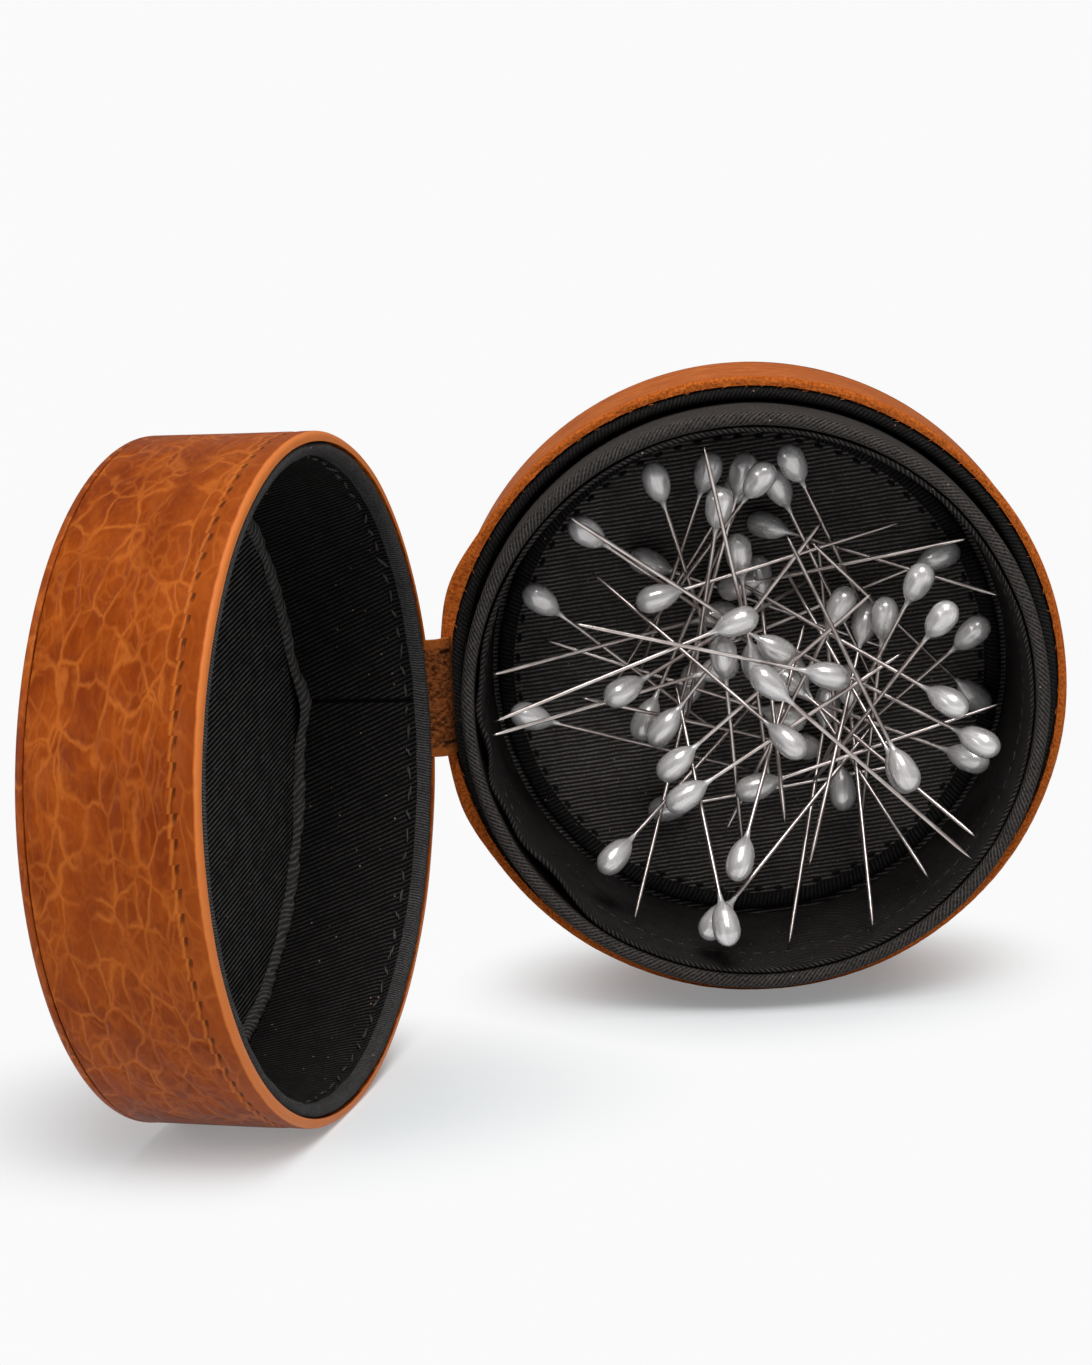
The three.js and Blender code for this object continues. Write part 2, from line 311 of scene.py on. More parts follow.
# %% Studio
def add_area_lamp(name, place, target, size, power):
    """A square lamp of that size that faces the target."""
    data = bpy.data.lights.new(name, "AREA")
    data.shape = "SQUARE"
    data.size = size
    data.energy = power
    lamp = bpy.data.objects.new(name, data)
    bpy.context.scene.collection.objects.link(lamp)
    lamp.location = place
    lamp.rotation_euler = (Vector(target) - Vector(place)).to_track_quat("-Z", "Y").to_euler()


def seen_by_camera(tree):
    """1 where a ray comes from the camera, or by way of a mirror or glass."""
    ray = add_node(tree, "LightPath", output="Is Camera Ray")
    for other in ("Is Glossy Ray", "Is Transmission Ray"):
        ray = math_of("MAXIMUM", ray, add_node(tree, "LightPath", output=other))
    return ray


def pool_distance(place, middle, reach):
    """Distance from the middle of an oval pool, which is 1 at its rim."""
    moved = vector_math("SUBTRACT", place, (middle[0], middle[1], 0))
    return vector_math("LENGTH", vector_math("DIVIDE", moved, (*reach, 1))).beside("Value")


paper_white = (0.955, 0.955, 0.955, 1)


def table_material(pools):
    """White table: outside the pools the camera sees its own white, and inside them the shadow."""
    material = bpy.data.materials.new("table_white")
    material.use_nodes = True
    tree = material.node_tree
    tree.nodes.clear()
    place = add_node(tree, "TexCoord", output="Object")
    nearest = math_of("MINIMUM", *[pool_distance(place, middle, reach) for middle, reach in pools])
    lit = add_node(tree, "BsdfDiffuse", {"Color": (0.83, 0.865, 0.88, 1)})
    white = add_node(tree, "Emission", {"Color": paper_white})
    seen = seen_by_camera(tree) * ramp(nearest, 0.3, 1.0, 0.25, 1.0)
    shown = add_node(tree, "MixShader", {"Fac": seen, 1: lit, 2: white})
    put(shown, tree.nodes.new("ShaderNodeOutputMaterial").inputs["Surface"])
    return material


def add_table():
    """A large square table top under the object."""
    bm = bmesh.new()
    bmesh.ops.create_grid(bm, x_segments=1, y_segments=1, size=3)
    mesh = bpy.data.meshes.new("table")
    bm.to_mesh(mesh)
    bm.free()
    table = bpy.data.objects.new("table", mesh)
    bpy.context.scene.collection.objects.link(table)
    under_base = base_place @ Vector((0, -case_radius, -0.3 * base_height))
    under_lid = lid_place @ Vector((0, -case_radius, -0.5 * lid_height))
    pools = [(under_base, (50 * mm, 40 * mm)), (under_lid, (62 * mm, 42 * mm))]
    mesh.materials.append(table_material(pools))


def set_world(strength):
    """White all round: full white to the camera, and a softer fill for the object."""
    world = bpy.data.worlds.new("studio")
    bpy.context.scene.world = world
    world.use_nodes = True
    tree = world.node_tree
    tree.nodes.clear()
    fill = add_node(tree, "Background", {"Color": (1, 1, 1, 1), "Strength": strength})
    white = add_node(tree, "Background", {"Color": paper_white, "Strength": 1})
    seen = add_node(tree, "LightPath", output="Is Camera Ray")
    shown = add_node(tree, "MixShader", {"Fac": seen, 1: fill, 2: white})
    put(shown, tree.nodes.new("ShaderNodeOutputWorld").inputs["Surface"])


bpy.context.scene.view_settings.view_transform = "Standard"
set_world(strength=0.27)
add_area_lamp("lamp_above", (0.04, -0.04, 0.8), (0, 0, 0.03), size=0.45, power=1.9)
add_area_lamp("lamp_key", (0.06, -0.34, 0.58), (0, 0, 0.04), size=0.28, power=2.3)
add_area_lamp("lamp_left", (-0.44, -0.3, 0.2), (0, 0, 0.04), size=0.25, power=0.65)
add_table()
print("studio set")

# %% [markdown]
# Most of the case is turned round an axis: walls, rims, rings and discs. Such a shape is a profile
# that is spun once round. The helper below joins the profile's points by edges, spins them, and keeps
# for each point how far along the profile it is. The material map then has the distance round the
# case as one coordinate and the distance along the profile as the other, both in metres, so that a
# weave keeps its real scale.

# %% Turned shapes
around = 192


def arc(centre, radius, start, end, steps):
    """Points on part of a circle as (radius, height), with the angles in degrees."""
    points = []
    for i in range(steps + 1):
        angle = math.radians(start + (end - start) * i / steps)
        points.append((centre[0] + radius * math.cos(angle), centre[1] + radius * math.sin(angle)))
    return points


def run(start, end, steps):
    """Evenly spaced points on a straight stretch of a profile, without its last point."""
    return [(start[0] + (end[0] - start[0]) * i / steps, start[1] + (end[1] - start[1]) * i / steps)
            for i in range(steps)]


def spun(profile, closed=True, segments=around):
    """A profile of (radius, height) points, spun once round z. Layer "along" holds the path length."""
    bm = bmesh.new()
    along = bm.verts.layers.float.new("along")
    corners = []
    distance = 0
    for i, (radius, height) in enumerate(profile):
        if i:
            distance += math.dist(profile[i - 1], profile[i])
        corner = bm.verts.new((radius, 0, height))
        corner[along] = distance
        corners.append(corner)
    pairs = list(zip(corners, corners[1:]))
    if closed:
        pairs.append((corners[-1], corners[0]))
    edges = [bm.edges.new(pair) for pair in pairs]
    bmesh.ops.spin(bm, geom=corners + edges, cent=(0, 0, 0), axis=(0, 0, 1), angle=2 * math.pi,
                   steps=segments, use_merge=True)
    bmesh.ops.remove_doubles(bm, verts=bm.verts, dist=1e-7)
    return bm


def map_round(bm, radius, ends_at=180):
    """Lays the map round the axis: distance round at that radius, and distance along the profile.
    The map's two ends meet at the angle ends_at, in degrees, which is best out of sight."""
    along = bm.verts.layers.float["along"]
    uv = bm.loops.layers.uv.verify()
    first = math.radians(ends_at)
    for face in bm.faces:
        middle = face.calc_center_median()
        turn = (math.atan2(middle.y, middle.x) - first) % (2 * math.pi) + first
        longest = max(loop.vert[along] for loop in face.loops)
        for loop in face.loops:
            spot = loop.vert.co
            angle = math.atan2(spot.y, spot.x)
            angle = turn + (angle - turn + math.pi) % (2 * math.pi) - math.pi
            far = loop.vert[along]
            if far == 0 and longest > 0.01:
                far = longest
            loop[uv].uv = (angle * radius, far)


def map_flat(bm, up_to=1.0):
    """Lays the map flat on the x and y of the half's own frame, on the faces inside a radius."""
    uv = bm.loops.layers.uv.verify()
    for face in bm.faces:
        middle = face.calc_center_median()
        if math.hypot(middle.x, middle.y) < up_to:
            for loop in face.loops:
                loop[uv].uv = (loop.vert.co.x, loop.vert.co.y)


def turn_from(angle, middle):
    """The angle from a middle one, both in degrees, between -180 and 180."""
    return (angle - middle + 180) % 360 - 180


def angle_of(vert):
    """A point's angle round z, in degrees."""
    return math.degrees(math.atan2(vert.co.y, vert.co.x))


def move_out(vert, by):
    """Moves a point straight away from the z axis."""
    radius = math.hypot(vert.co.x, vert.co.y)
    vert.co.x *= (radius + by) / radius
    vert.co.y *= (radius + by) / radius


def push_by_noise(bm, amount, size, seed=0.0):
    """Moves each point along its normal by smooth noise, for the small unevenness of handwork."""
    bm.normal_update()
    moves = [noise.noise(vert.co / size + Vector((seed, seed, seed))) * amount for vert in bm.verts]
    normals = [vert.normal.copy() for vert in bm.verts]
    for vert, move, normal in zip(bm.verts, moves, normals):
        vert.co += normal * move


crease_angle = math.radians(50)


def add_piece(bm, name, place, materials, body, stands_for=()):
    """Turns a bmesh in a half's own frame into a finished piece that rides on a body."""
    bmesh.ops.recalc_face_normals(bm, faces=bm.faces)
    for face in bm.faces:
        face.smooth = True
    for edge in bm.edges:
        edge.smooth = len(edge.link_faces) != 2 or edge.calc_face_angle(0) < crease_angle
    bm.transform(place)
    mesh = bpy.data.meshes.new(name)
    bm.to_mesh(mesh)
    bm.free()
    if place.determinant() < 0:
        mesh.flip_normals()
    for material in materials:
        mesh.materials.append(material)
    piece = bpy.data.objects.new(name, mesh)
    bpy.context.scene.collection.objects.link(piece)
    if body:
        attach(piece, body)
    if stands_for:
        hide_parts(*stands_for)
    print(name, len(mesh.polygons), "faces")
    return piece

# %% [markdown]
# Full-grain leather that was tumbled has plates of a few millimetres with thin creases between them.
# On this case the creases are a little paler than the plates, and run mostly round the case. Voronoi
# cells give the plates, and their distance to the edge gives the creases. Noise bends them first, so
# that no edge is straight, and lets some of them fade. Finer cells add small wrinkles in places.

# %% Leather grain group
def leather_grain_group():
    """Plates, creases, the tone of each plate and pores, from a place in metres."""
    out, (place, plate_size) = start_group("leather_grain", ("Plates", "Crease", "Tone", "Pores"),
                                           Plate_Size=0.004)
    bent = place
    for scale, reach in ((110.0, 0.0036), (420.0, 0.0016)):
        bend = vector_math("SUBTRACT", noise_at(place, scale).beside("Color"), (0.5, 0.5, 0.5))
        bent = vector_math("MULTIPLY_ADD", bend, (reach, reach, reach), bent)
    scale = math_of("DIVIDE", 1.0, plate_size)
    plates = cells_at(bent, scale, feature="DISTANCE_TO_EDGE")
    wrinkles = cells_at(bent, scale * 2.0, feature="DISTANCE_TO_EDGE")
    worn = ramp(noise_at(place, 240.0, 3.0), 0.34, 0.6, 0.2, 1.0)
    patchy = ramp(noise_at(place, 160.0), 0.36, 0.64, 0.1, 0.5)
    big = ramp(plates, 0.11, 0.0) ** 1.4 * worn
    small = ramp(wrinkles, 0.2, 0.0) ** 1.5 * patchy
    own = add_node(place.tree, "SeparateColor", {"Color": cells_at(bent, scale).beside("Color")})
    tone = own * 0.05 + noise_at(place, 230.0, 4.0, 0.6)
    return end_group(out, Plates=ramp(plates, 0.0, 0.3), Crease=math_of("MAXIMUM", big, small), Tone=tone,
                     Pores=noise_at(place, 3200.0, 3.0, 0.6))


leather_grain = leather_grain_group()

# %% [markdown]
# The linings are a black ribbed twill: fine cords side by side at a slant, each made of crossing
# threads. Sine waves across and along the slant give the cords and the threads. Noise bends the
# cords a little and breaks up their gloss. Lint is a sparse scatter of pale specks.

# %% Twill weave and lint groups
def twill_weave_group():
    """Slanting ribs with crossing threads, and the fray that breaks them up."""
    out, (place, rib_pitch, slant, bend) = start_group("twill_weave", ("Height", "Rib", "Fray"),
                                                       Rib_Pitch=0.0007, Slant=0.0, Bend=0.0002)
    turned = add_node(place.tree, "VectorRotate", {"Vector": place, "Angle": slant}, rotation_type="Z_AXIS")
    across, along = x_and_y(turned)
    ribs = ((noise_at(place, 260.0) - 0.5) * bend + across) / rib_pitch
    rib = ramp(math_of("SINE", ribs * (2 * math.pi)), -0.35, 0.95)
    threads = along / rib_pitch * 2.0 + ribs * 0.5
    crossing = math_of("SINE", threads * (2 * math.pi)) * 0.5 + 0.5
    fray = noise_at(place, 2400.0, 3.0, 0.65)
    return end_group(out, Height=crossing * 0.22 + rib + fray * 0.35, Rib=rib, Fray=fray)


def lint_group():
    """Sparse specks, each with a tint of its own."""
    out, (place, spacing, share) = start_group("lint", ("Speck", "Tint"), Spacing=0.0015, Share=0.25)
    cells = cells_at(place, math_of("DIVIDE", 1.0, spacing))
    picked = add_node(place.tree, "SeparateColor", {"Color": cells.beside("Color")})
    near = ramp(cells, 0.09, 0.045)
    return end_group(out, Speck=near * math_of("LESS_THAN", picked, share), Tint=picked.beside("Green"))


twill_weave = twill_weave_group()
lint = lint_group()
print("groups", [group.name for group in bpy.data.node_groups])

# %% [markdown]
# The tan leather is orange-brown, with redder plates and paler creases. The lid's mouth has a rounded,
# paler lip, and behind it a smooth, darker strip up to the stitch line. Each stitch is a short slanting
# dash that dives under a small tooth of leather, so the line has a saw's edge with a pale lip. The
# map's second coordinate is the distance along the profile, so all these are bands of it. The two ends
# of each band meet in a butt joint at the hinge.

# %% Leather
tan_dark = colour(122, 46, 2)
tan_mid = colour(152, 67, 7)
tan_pale = colour(156, 72, 16)
tan_crease = colour(206, 114, 42)
tan_lip = colour(224, 128, 64)
seam_brown = colour(62, 29, 10)


def grained_leather(place, solid):
    """The grained surface: its colour and height, and the tone and creases of its plates."""
    plates, crease, tone, pores = place_group(leather_grain, stretched(place, (0.5, 1.0, 1.0)),
                                              Plate_Size=0.0033)
    wide = ramp(noise_at(solid, 42.0, 3.0), 0.4, 0.62)
    body = mixed(ramp(tone, 0.38, 0.72), tan_dark, tan_mid)
    body = mixed(wide * 0.45, body, tan_pale)
    body = mixed(crease * 0.46, body, tan_crease)
    body = mixed(ramp(pores, 0.6, 0.35, 0.0, 0.14), body, seam_brown)
    return body, pores * 0.2 + plates - crease * 0.35, tone, crease


def band_joint(across, middle):
    """1 in the fine gap where a band's two ends meet, half a turn away from the middle of its map."""
    return ramp(abs(abs(across - middle) - math.pi * case_radius), 0.0003, 0.0001)


def lid_leather_material():
    """Grained leather with a lip at the mouth, a smooth strip and a stitch line."""
    lip_to, line_at = 0.0017, 0.004
    pitch, tooth = 0.003, 0.00036
    material, place, solid = start_material("tan_leather_lid")
    body, height, tone, _ = grained_leather(place, solid)
    across, along = x_and_y(place)
    waver = (noise_at(place, 450.0) - 0.5) * 0.0007
    phase = math_of("FRACT", (across + waver) / pitch)
    past = along + waver - (phase * tooth + line_at)
    strip = ramp(past, 0.0001, -0.0002)
    body = mixed(strip * 0.4, body, colour(150, 68, 14))
    dash = ramp(abs(past + 0.0001), 0.0003, 0.00006) * ramp(phase, 0.55, 0.2, 0.1, 1.0)
    body = mixed(dash * 0.75, body, seam_brown)
    tooth_lip = ramp(abs(past - 0.0003), 0.00035, 0.00006)
    body = mixed(tooth_lip * 0.45, body, tan_crease)
    lip = ramp(waver * 0.4 + along, lip_to, lip_to - 0.0004)
    body = mixed(lip * 0.85, body, tan_lip)
    joint = band_joint(across, math.pi * case_radius)
    body = mixed(joint * 0.8, body, seam_brown)
    height = height * (strip * -0.7 + 1.0) - dash * 1.8 + tooth_lip * 0.7 - joint * 1.8
    return finished(material, Base_Color=body, Roughness=ramp(tone, 0.3, 1.0, 0.4, 0.55),
                    Normal=bump(height, 0.0001), Specular_IOR_Level=0.08)


def plain_leather_material():
    """Grained leather without seams, for the closed ends, mapped flat."""
    material, place, solid = start_material("tan_leather_end")
    body, height, tone, _ = grained_leather(place, solid)
    return finished(material, Base_Color=body, Roughness=ramp(tone, 0.3, 1.0, 0.4, 0.55),
                    Normal=bump(height, 0.0001), Specular_IOR_Level=0.14)


def base_leather_material():
    """The base's band: paler, streaked grained leather, partly its own tone and partly painted sheen, and a
    fuzzy cut edge at the mouth.
    """
    edge_to = 0.003
    material, place, solid = start_material("tan_leather_base")
    grained, height, _, crease = grained_leather(place, solid)
    # Painted sheen: the pale streaks and the paler mix below stand partly for the band's own tone and partly
    # for the light on its top.
    streaks = noise_at(stretched(place, (0.16, 1.0, 1.0)), 900.0, 4.0, 0.6)
    fibres = noise_at(place, 2300.0, 4.0, 0.7)
    pale = mixed(ramp(streaks, 0.34, 0.68), colour(182, 90, 30), colour(220, 124, 56))
    body = mixed(0.55, grained, pale)
    body = mixed(crease * 0.2, body, colour(226, 134, 66))
    across, along = x_and_y(place)
    edge = ramp(fibres * 0.0012 + along, edge_to + 0.0008, edge_to - 0.0016)
    nap = mixed(ramp(fibres, 0.36, 0.64), colour(148, 68, 20), colour(204, 108, 42))
    body = mixed(edge, body, nap)
    joint = band_joint(across, 2 * math.pi * case_radius)
    body = mixed(joint * 0.8, body, seam_brown)
    height = height + streaks * 0.4 + fibres * edge - joint * 1.8
    return finished(material, Base_Color=body, Roughness=ramp(edge, 0.0, 1.0, 0.55, 0.85),
                    Normal=bump(height, 0.0001), Specular_IOR_Level=0.06)


lid_leather = lid_leather_material()
base_leather = base_leather_material()
end_leather = plain_leather_material()
print("leather made")

# %% [markdown]
# All the cloths share the weave: the linings, the folded rims, the collar and the seams. They differ in
# the pitch and slant of the cords and in how grey they look, and the base's floor is made greyer than the
# other linings as painted light. The collar's cloth is drawn so tight that its cords nearly vanish, and
# its fold is rubbed to grey. The two ends of the lid's wall lining meet at lining_joint, in degrees round
# the lid.

# %% Cloths
def cloth_material(name, pitch, slant, low, high, bend=0.0002, depth=0.0001, lint_share=0.2, rub=0.0,
                   joint_at=None):
    """Black twill with cords at that pitch, slanting by that many degrees, from a low to a high grey.
    With joint_at, the two ends of the strip meet in a dark line there."""
    material, place, _ = start_material(name)
    height, rib, fray = place_group(twill_weave, place, Rib_Pitch=pitch, Slant=math.radians(slant),
                                    Bend=bend)
    speck, tint = place_group(lint, place, Share=lint_share)
    patch = ramp(noise_at(place, 300.0, 4.0, 0.6), 0.25, 0.7, 0.5, 1.0)
    lit = rib * patch * ramp(fray, 0.3, 0.7, 0.45, 1.0)
    body = mixed(lit, colour(*low), colour(*high))
    if rub:
        body = mixed(ramp(fray, 0.35, 0.75, 0.0, rub), body, colour(80, 75, 72))
    dust = mixed(tint, colour(196, 184, 174), colour(214, 140, 110))
    body = mixed(speck * 0.75, body, dust)
    if joint_at is not None:
        across, _ = x_and_y(place)
        joint = ramp(abs(across - joint_at), 0.0005, 0.0001)
        body = mixed(joint, body, colour(4, 4, 4))
        height = height - joint * 3.0
    return finished(material, Base_Color=body, Roughness=0.9, Normal=bump(height, depth),
                    Specular_IOR_Level=0.1)


lining_joint = 2
joint_at = math.radians(360 + lining_joint) * lid_lining
# Painted light: the base's floor is the same black twill as the linings, with its greys raised for the light
# that falls on it.
floor_twill = cloth_material("floor_twill", pitch=0.00063, slant=84, low=(46, 43, 42),
                             high=(146, 139, 135), bend=0.0004, lint_share=0.45)
wall_twill = cloth_material("wall_twill", pitch=0.00065, slant=25, low=(10, 9, 9), high=(64, 61, 59),
                            lint_share=0.5, joint_at=joint_at)
lid_floor_twill = cloth_material("lid_floor_twill", pitch=0.0007, slant=80, low=(10, 9, 9),
                                 high=(108, 105, 103), lint_share=0.5)
rim_twill = cloth_material("rim_twill", pitch=0.00055, slant=28, low=(18, 17, 17), high=(50, 48, 47),
                           bend=0.0005, depth=0.00008, lint_share=0.3, rub=0.15)
lid_rim_twill = cloth_material("lid_rim_twill", pitch=0.0004, slant=10, low=(38, 37, 37),
                               high=(104, 103, 103), bend=0.0006, depth=0.00006, lint_share=0.15, rub=0.45)
collar_twill = cloth_material("collar_twill", pitch=0.0005, slant=45, low=(26, 24, 23),
                              high=(98, 92, 89), depth=0.00007, lint_share=0.1, rub=0.7)
lining_twill = cloth_material("lining_twill", pitch=0.00055, slant=45, low=(22, 20, 20),
                              high=(80, 75, 73), depth=0.00009, lint_share=0.4)
piping_twill = cloth_material("piping_twill", pitch=0.00063, slant=12, low=(20, 19, 19),
                              high=(58, 55, 54), bend=0.0006, lint_share=0.1)
seam_twill = cloth_material("seam_twill", pitch=0.0008, slant=-35, low=(50, 48, 47),
                            high=(118, 115, 113), bend=0.002, lint_share=0.3, rub=0.5)
print("cloths made")

# %% [markdown]
# The lid's wall is one band of leather: its profile runs from the inside of the mouth over the rounded
# edge, down the outside to the seam with the end, and back up the inside. Rows of points near the
# stitch line let the leather dip there. Smooth noise takes away the perfect roundness of a machine
# part.

# %% Leather of the lid
edge_round = 0.7 * mm


def wall_profile(height):
    """The band of leather from the mouth to the seam at the closed end."""
    foot = -height + leather + 0.05 * mm
    foot_round = 0.25 * mm
    rows = 40
    profile = [(wall_inner, 0), (wall_inner + 0.2 * mm, 0)]
    profile += arc((case_radius - edge_round, -edge_round), edge_round, 90, 0, 6)
    profile += run((case_radius, -edge_round - 0.2 * mm), (case_radius, foot + foot_round), rows)
    profile += arc((case_radius - foot_round, foot + foot_round), foot_round, 0, -90, 4)
    profile += [(wall_inner, foot)]
    return profile


def end_profile(height):
    """The disc of leather on the closed end, with its edge rounded."""
    low, high = -height, -height + leather - 0.05 * mm
    profile = [(0, low)]
    profile += run((2 * mm, low), (case_radius - edge_round, low), 14)
    profile += arc((case_radius - edge_round, low + edge_round), edge_round, -90, 0, 5)
    profile += arc((case_radius - 0.15 * mm, high - 0.15 * mm), 0.15 * mm, 0, 90, 3)
    profile += [(0, high)]
    return profile


def dip_at(bm, depth, level_z, half):
    """Draws the outside in along a line of stitches."""
    for vert in bm.verts:
        if math.hypot(vert.co.x, vert.co.y) >= case_radius - 0.2 * mm:
            near = max(0.0, 1 - abs(vert.co.z - level_z) / half)
            move_out(vert, -depth * near ** 2)


stitch_level = -3.1 * mm
bm = spun(wall_profile(lid_height))
map_round(bm, case_radius, ends_at=0)
dip_at(bm, depth=0.2 * mm, level_z=stitch_level, half=1.0 * mm)
push_by_noise(bm, amount=0.12 * mm, size=14 * mm, seed=3.0)
add_piece(bm, "lid_leather_band", lid_place, [lid_leather], "lid", ["lid_leather_wall"])

bm = spun(end_profile(lid_height), closed=False)
map_round(bm, case_radius, ends_at=0)
map_flat(bm, case_radius - edge_round / 2)
add_piece(bm, "lid_leather_end", lid_place, [end_leather], "lid", ["lid_leather_top"])

# %% [markdown]
# Thread shows as short dark dashes in the stitch lines. One small stretched ball makes a stitch, and
# copies of it are set round the band, each turned to lie along it. All stitches of a line are one
# piece.

# %% Stitches
def thread_material(name, low, high):
    """Waxed thread with its twist, from a low to a high colour."""
    material, _, place = start_material(name)
    twist = add_node(place.tree, "TexWave", {"Vector": place, "Scale": 900.0, "Distortion": 2.0}, "Fac")
    return finished(material, Base_Color=mixed(twist, low, high), Roughness=0.6,
                    Normal=bump(twist, 0.00005))


brown_thread = thread_material("brown_thread", colour(58, 30, 14), colour(98, 56, 28))
black_thread = thread_material("black_thread", colour(22, 21, 20), colour(70, 67, 64))


def scattered(i, step=0.618):
    """A share from 0 to 1 for each number, spread evenly and without chance."""
    return i * step % 1


def add_stitch(bm, place, length, width):
    """One stitch: a stretched ball that lies along x of its place, 8 by 5 faces."""
    shape = place @ Matrix.Diagonal((length / 2, width / 2, width / 2, 1))
    bmesh.ops.create_uvsphere(bm, u_segments=8, v_segments=5, radius=1, matrix=shape)


def ring_of_stitches(radius, height, pitch, length, width, skew=0.0, uneven=0.0):
    """Stitches round z at that radius and height, each off by up to the uneven share."""
    bm = bmesh.new()
    count = round(2 * math.pi * radius / pitch)
    for i in range(count):
        off = (scattered(i) - 0.5) * uneven
        tilt = (scattered(i, 0.371) - 0.5) * uneven
        turn = Matrix.Rotation(2 * math.pi * i / count, 4, "Z")
        spot = Matrix.Translation((radius, 0, height + off * 0.5 * width))
        lie = Matrix.Rotation(math.pi / 2, 4, "Z") @ Matrix.Rotation(skew + tilt, 4, "Y")
        add_stitch(bm, turn @ spot @ lie, length * (1 + 0.6 * off), width)
    return bm


stitch_pitch = 3 * mm
bm = ring_of_stitches(case_radius - 0.34 * mm, stitch_level - 0.05 * mm, stitch_pitch,
                      length=0.9 * mm, width=0.26 * mm, skew=0.25, uneven=0.5)
add_piece(bm, "lid_band_stitches", lid_place, [brown_thread], "lid")
bm = ring_of_stitches(lid_lining - twill - 0.02 * mm, stitch_level, stitch_pitch,
                      length=1.9 * mm, width=0.42 * mm, skew=0.14, uneven=1.0)
add_piece(bm, "lid_lining_stitches", lid_place, [black_thread], "lid")

# %% [markdown]
# The mouth of each half is bound with a strip of the twill, folded over the edge of the board. It is
# a rolled ring with a round top. The lining below it is a plain tube of cloth that is drawn in a
# little where the stitch line passes through.

# %% Rim and linings of the lid
def rim_profile(inner, foot):
    """A fold of cloth over the wall's edge."""
    half = (binding_outer - inner) / 2
    profile = [(binding_outer, foot)]
    profile += arc(((binding_outer + inner) / 2, -half), half, 0, 180, 14)
    profile += [(inner, foot)]
    return profile


bm = spun(rim_profile(lid_rim_inner, -1.9 * mm))
map_round(bm, binding_outer)
push_by_noise(bm, amount=0.14 * mm, size=4 * mm, seed=1.0)
add_piece(bm, "lid_rim_fold", lid_place, [lid_rim_twill], "lid", ["lid_rim_binding"])


def tube_profile(outer, inner, foot, top, rows):
    """A cloth tube: up the inside from the foot, over the top and down the outside."""
    return run((inner, foot), (inner, top), rows) + [(inner, top), (outer, top), (outer, foot)]


bm = spun(tube_profile(lid_lining, lid_lining - twill, lid_floor - floor_cloth, -1.6 * mm, 40))
map_round(bm, lid_lining)
for vert in bm.verts:
    pull = math.exp(-((vert.co.z - stitch_level) / (0.7 * mm)) ** 2)
    swell = 1 + 0.25 * mm * pull / lid_lining
    if math.hypot(vert.co.x, vert.co.y) < lid_lining - twill / 2:
        vert.co.x *= swell
        vert.co.y *= swell
push_by_noise(bm, amount=0.08 * mm, size=8 * mm, seed=5.0)
lid_cloth = add_piece(bm, "lid_wall_cloth", lid_place, [wall_twill], "lid", ["lid_wall_lining"])


def disc_profile(radius, low, high):
    """A flat disc of cloth."""
    return [(0, low), (radius, low)] + run((radius, high), (0.5 * mm, high), 20) + [(0, high)]


lid_floor_radius = lid_lining - twill - glue
bm = spun(disc_profile(lid_floor_radius, lid_floor - floor_cloth, lid_floor), closed=False)
map_flat(bm)
push_by_noise(bm, amount=0.06 * mm, size=9 * mm, seed=7.0)
lid_floor_cloth = add_piece(bm, "lid_floor_cloth", lid_place, [lid_floor_twill], "lid",
                            ["lid_floor_lining"])

# %% [markdown]
# Where a lining's wall meets its floor, the two cloths are sewn together and the seam stands up as a
# ridge. In the base it is a ribbed roll like piping, with the needle's holes along its inner foot. A
# half-round profile is spun, and a small wave round the ring gives the puckers between stitches.

# %% Floor seams
def ridge_profile(radius, width, foot, height):
    """A rounded ridge on a flat foot."""
    profile = [(radius + width / 2, foot)]
    for i in range(1, 12):
        angle = math.pi * i / 12
        profile.append((radius + width / 2 * math.cos(angle), foot + height * math.sin(angle) ** 0.8))
    return profile + [(radius - width / 2, foot)]


def pucker(bm, radius, pitch, depth):
    """Draws a ridge down at each stitch."""
    count = round(2 * math.pi * radius / pitch)
    lowest = min(vert.co.z for vert in bm.verts)
    for vert in bm.verts:
        angle = math.atan2(vert.co.y, vert.co.x)
        wave = 0.5 + 0.5 * math.cos(angle * count)
        vert.co.z = lowest + (vert.co.z - lowest) * (1 - depth * wave)


def lift_ridge(bm, middle, half, height):
    """Lifts a ridge off the floor round one angle, where the wall's joint pulls it up, in degrees."""
    for vert in bm.verts:
        off = turn_from(angle_of(vert), middle)
        vert.co.z += height * math.exp(-(off / half) ** 2)


bm = spun(ridge_profile(seam_radius, seam_width, base_floor + glue, seam_height), segments=480)
map_round(bm, seam_radius)
pucker(bm, seam_radius, pitch=1.5 * mm, depth=0.14)
push_by_noise(bm, amount=0.12 * mm, size=5 * mm, seed=2.0)
add_piece(bm, "base_floor_ridge", base_place, [piping_twill], "base", ["base_floor_seam"])

lid_seam_radius = lid_floor_radius - lid_seam_width / 2
bm = spun(ridge_profile(lid_seam_radius, lid_seam_width, lid_floor + glue, seam_height), segments=480)
map_round(bm, lid_seam_radius)
pucker(bm, lid_seam_radius, pitch=stitch_pitch, depth=0.2)
lift_ridge(bm, middle=lining_joint, half=6, height=1.3 * mm)
push_by_noise(bm, amount=0.3 * mm, size=5 * mm, seed=4.0)
add_piece(bm, "lid_floor_ridge", lid_place, [seam_twill], "lid", ["lid_floor_seam"])


def pit_material():
    """Near-black, for the shadow inside a needle hole and the thread that dives into it."""
    material, _, place = start_material("needle_hole")
    body = mixed(noise_at(place, 2500.0), colour(3, 3, 3), colour(16, 15, 15))
    return finished(material, Base_Color=body, Roughness=0.95)


needle_hole = pit_material()
holes_radius = seam_radius - seam_width / 2 - 0.6 * mm
bm = ring_of_stitches(holes_radius, base_floor + 0.04 * mm, stitch_pitch, length=1.5 * mm, width=0.7 * mm)
add_piece(bm, "base_floor_stitches", base_place, [needle_hole], "base")

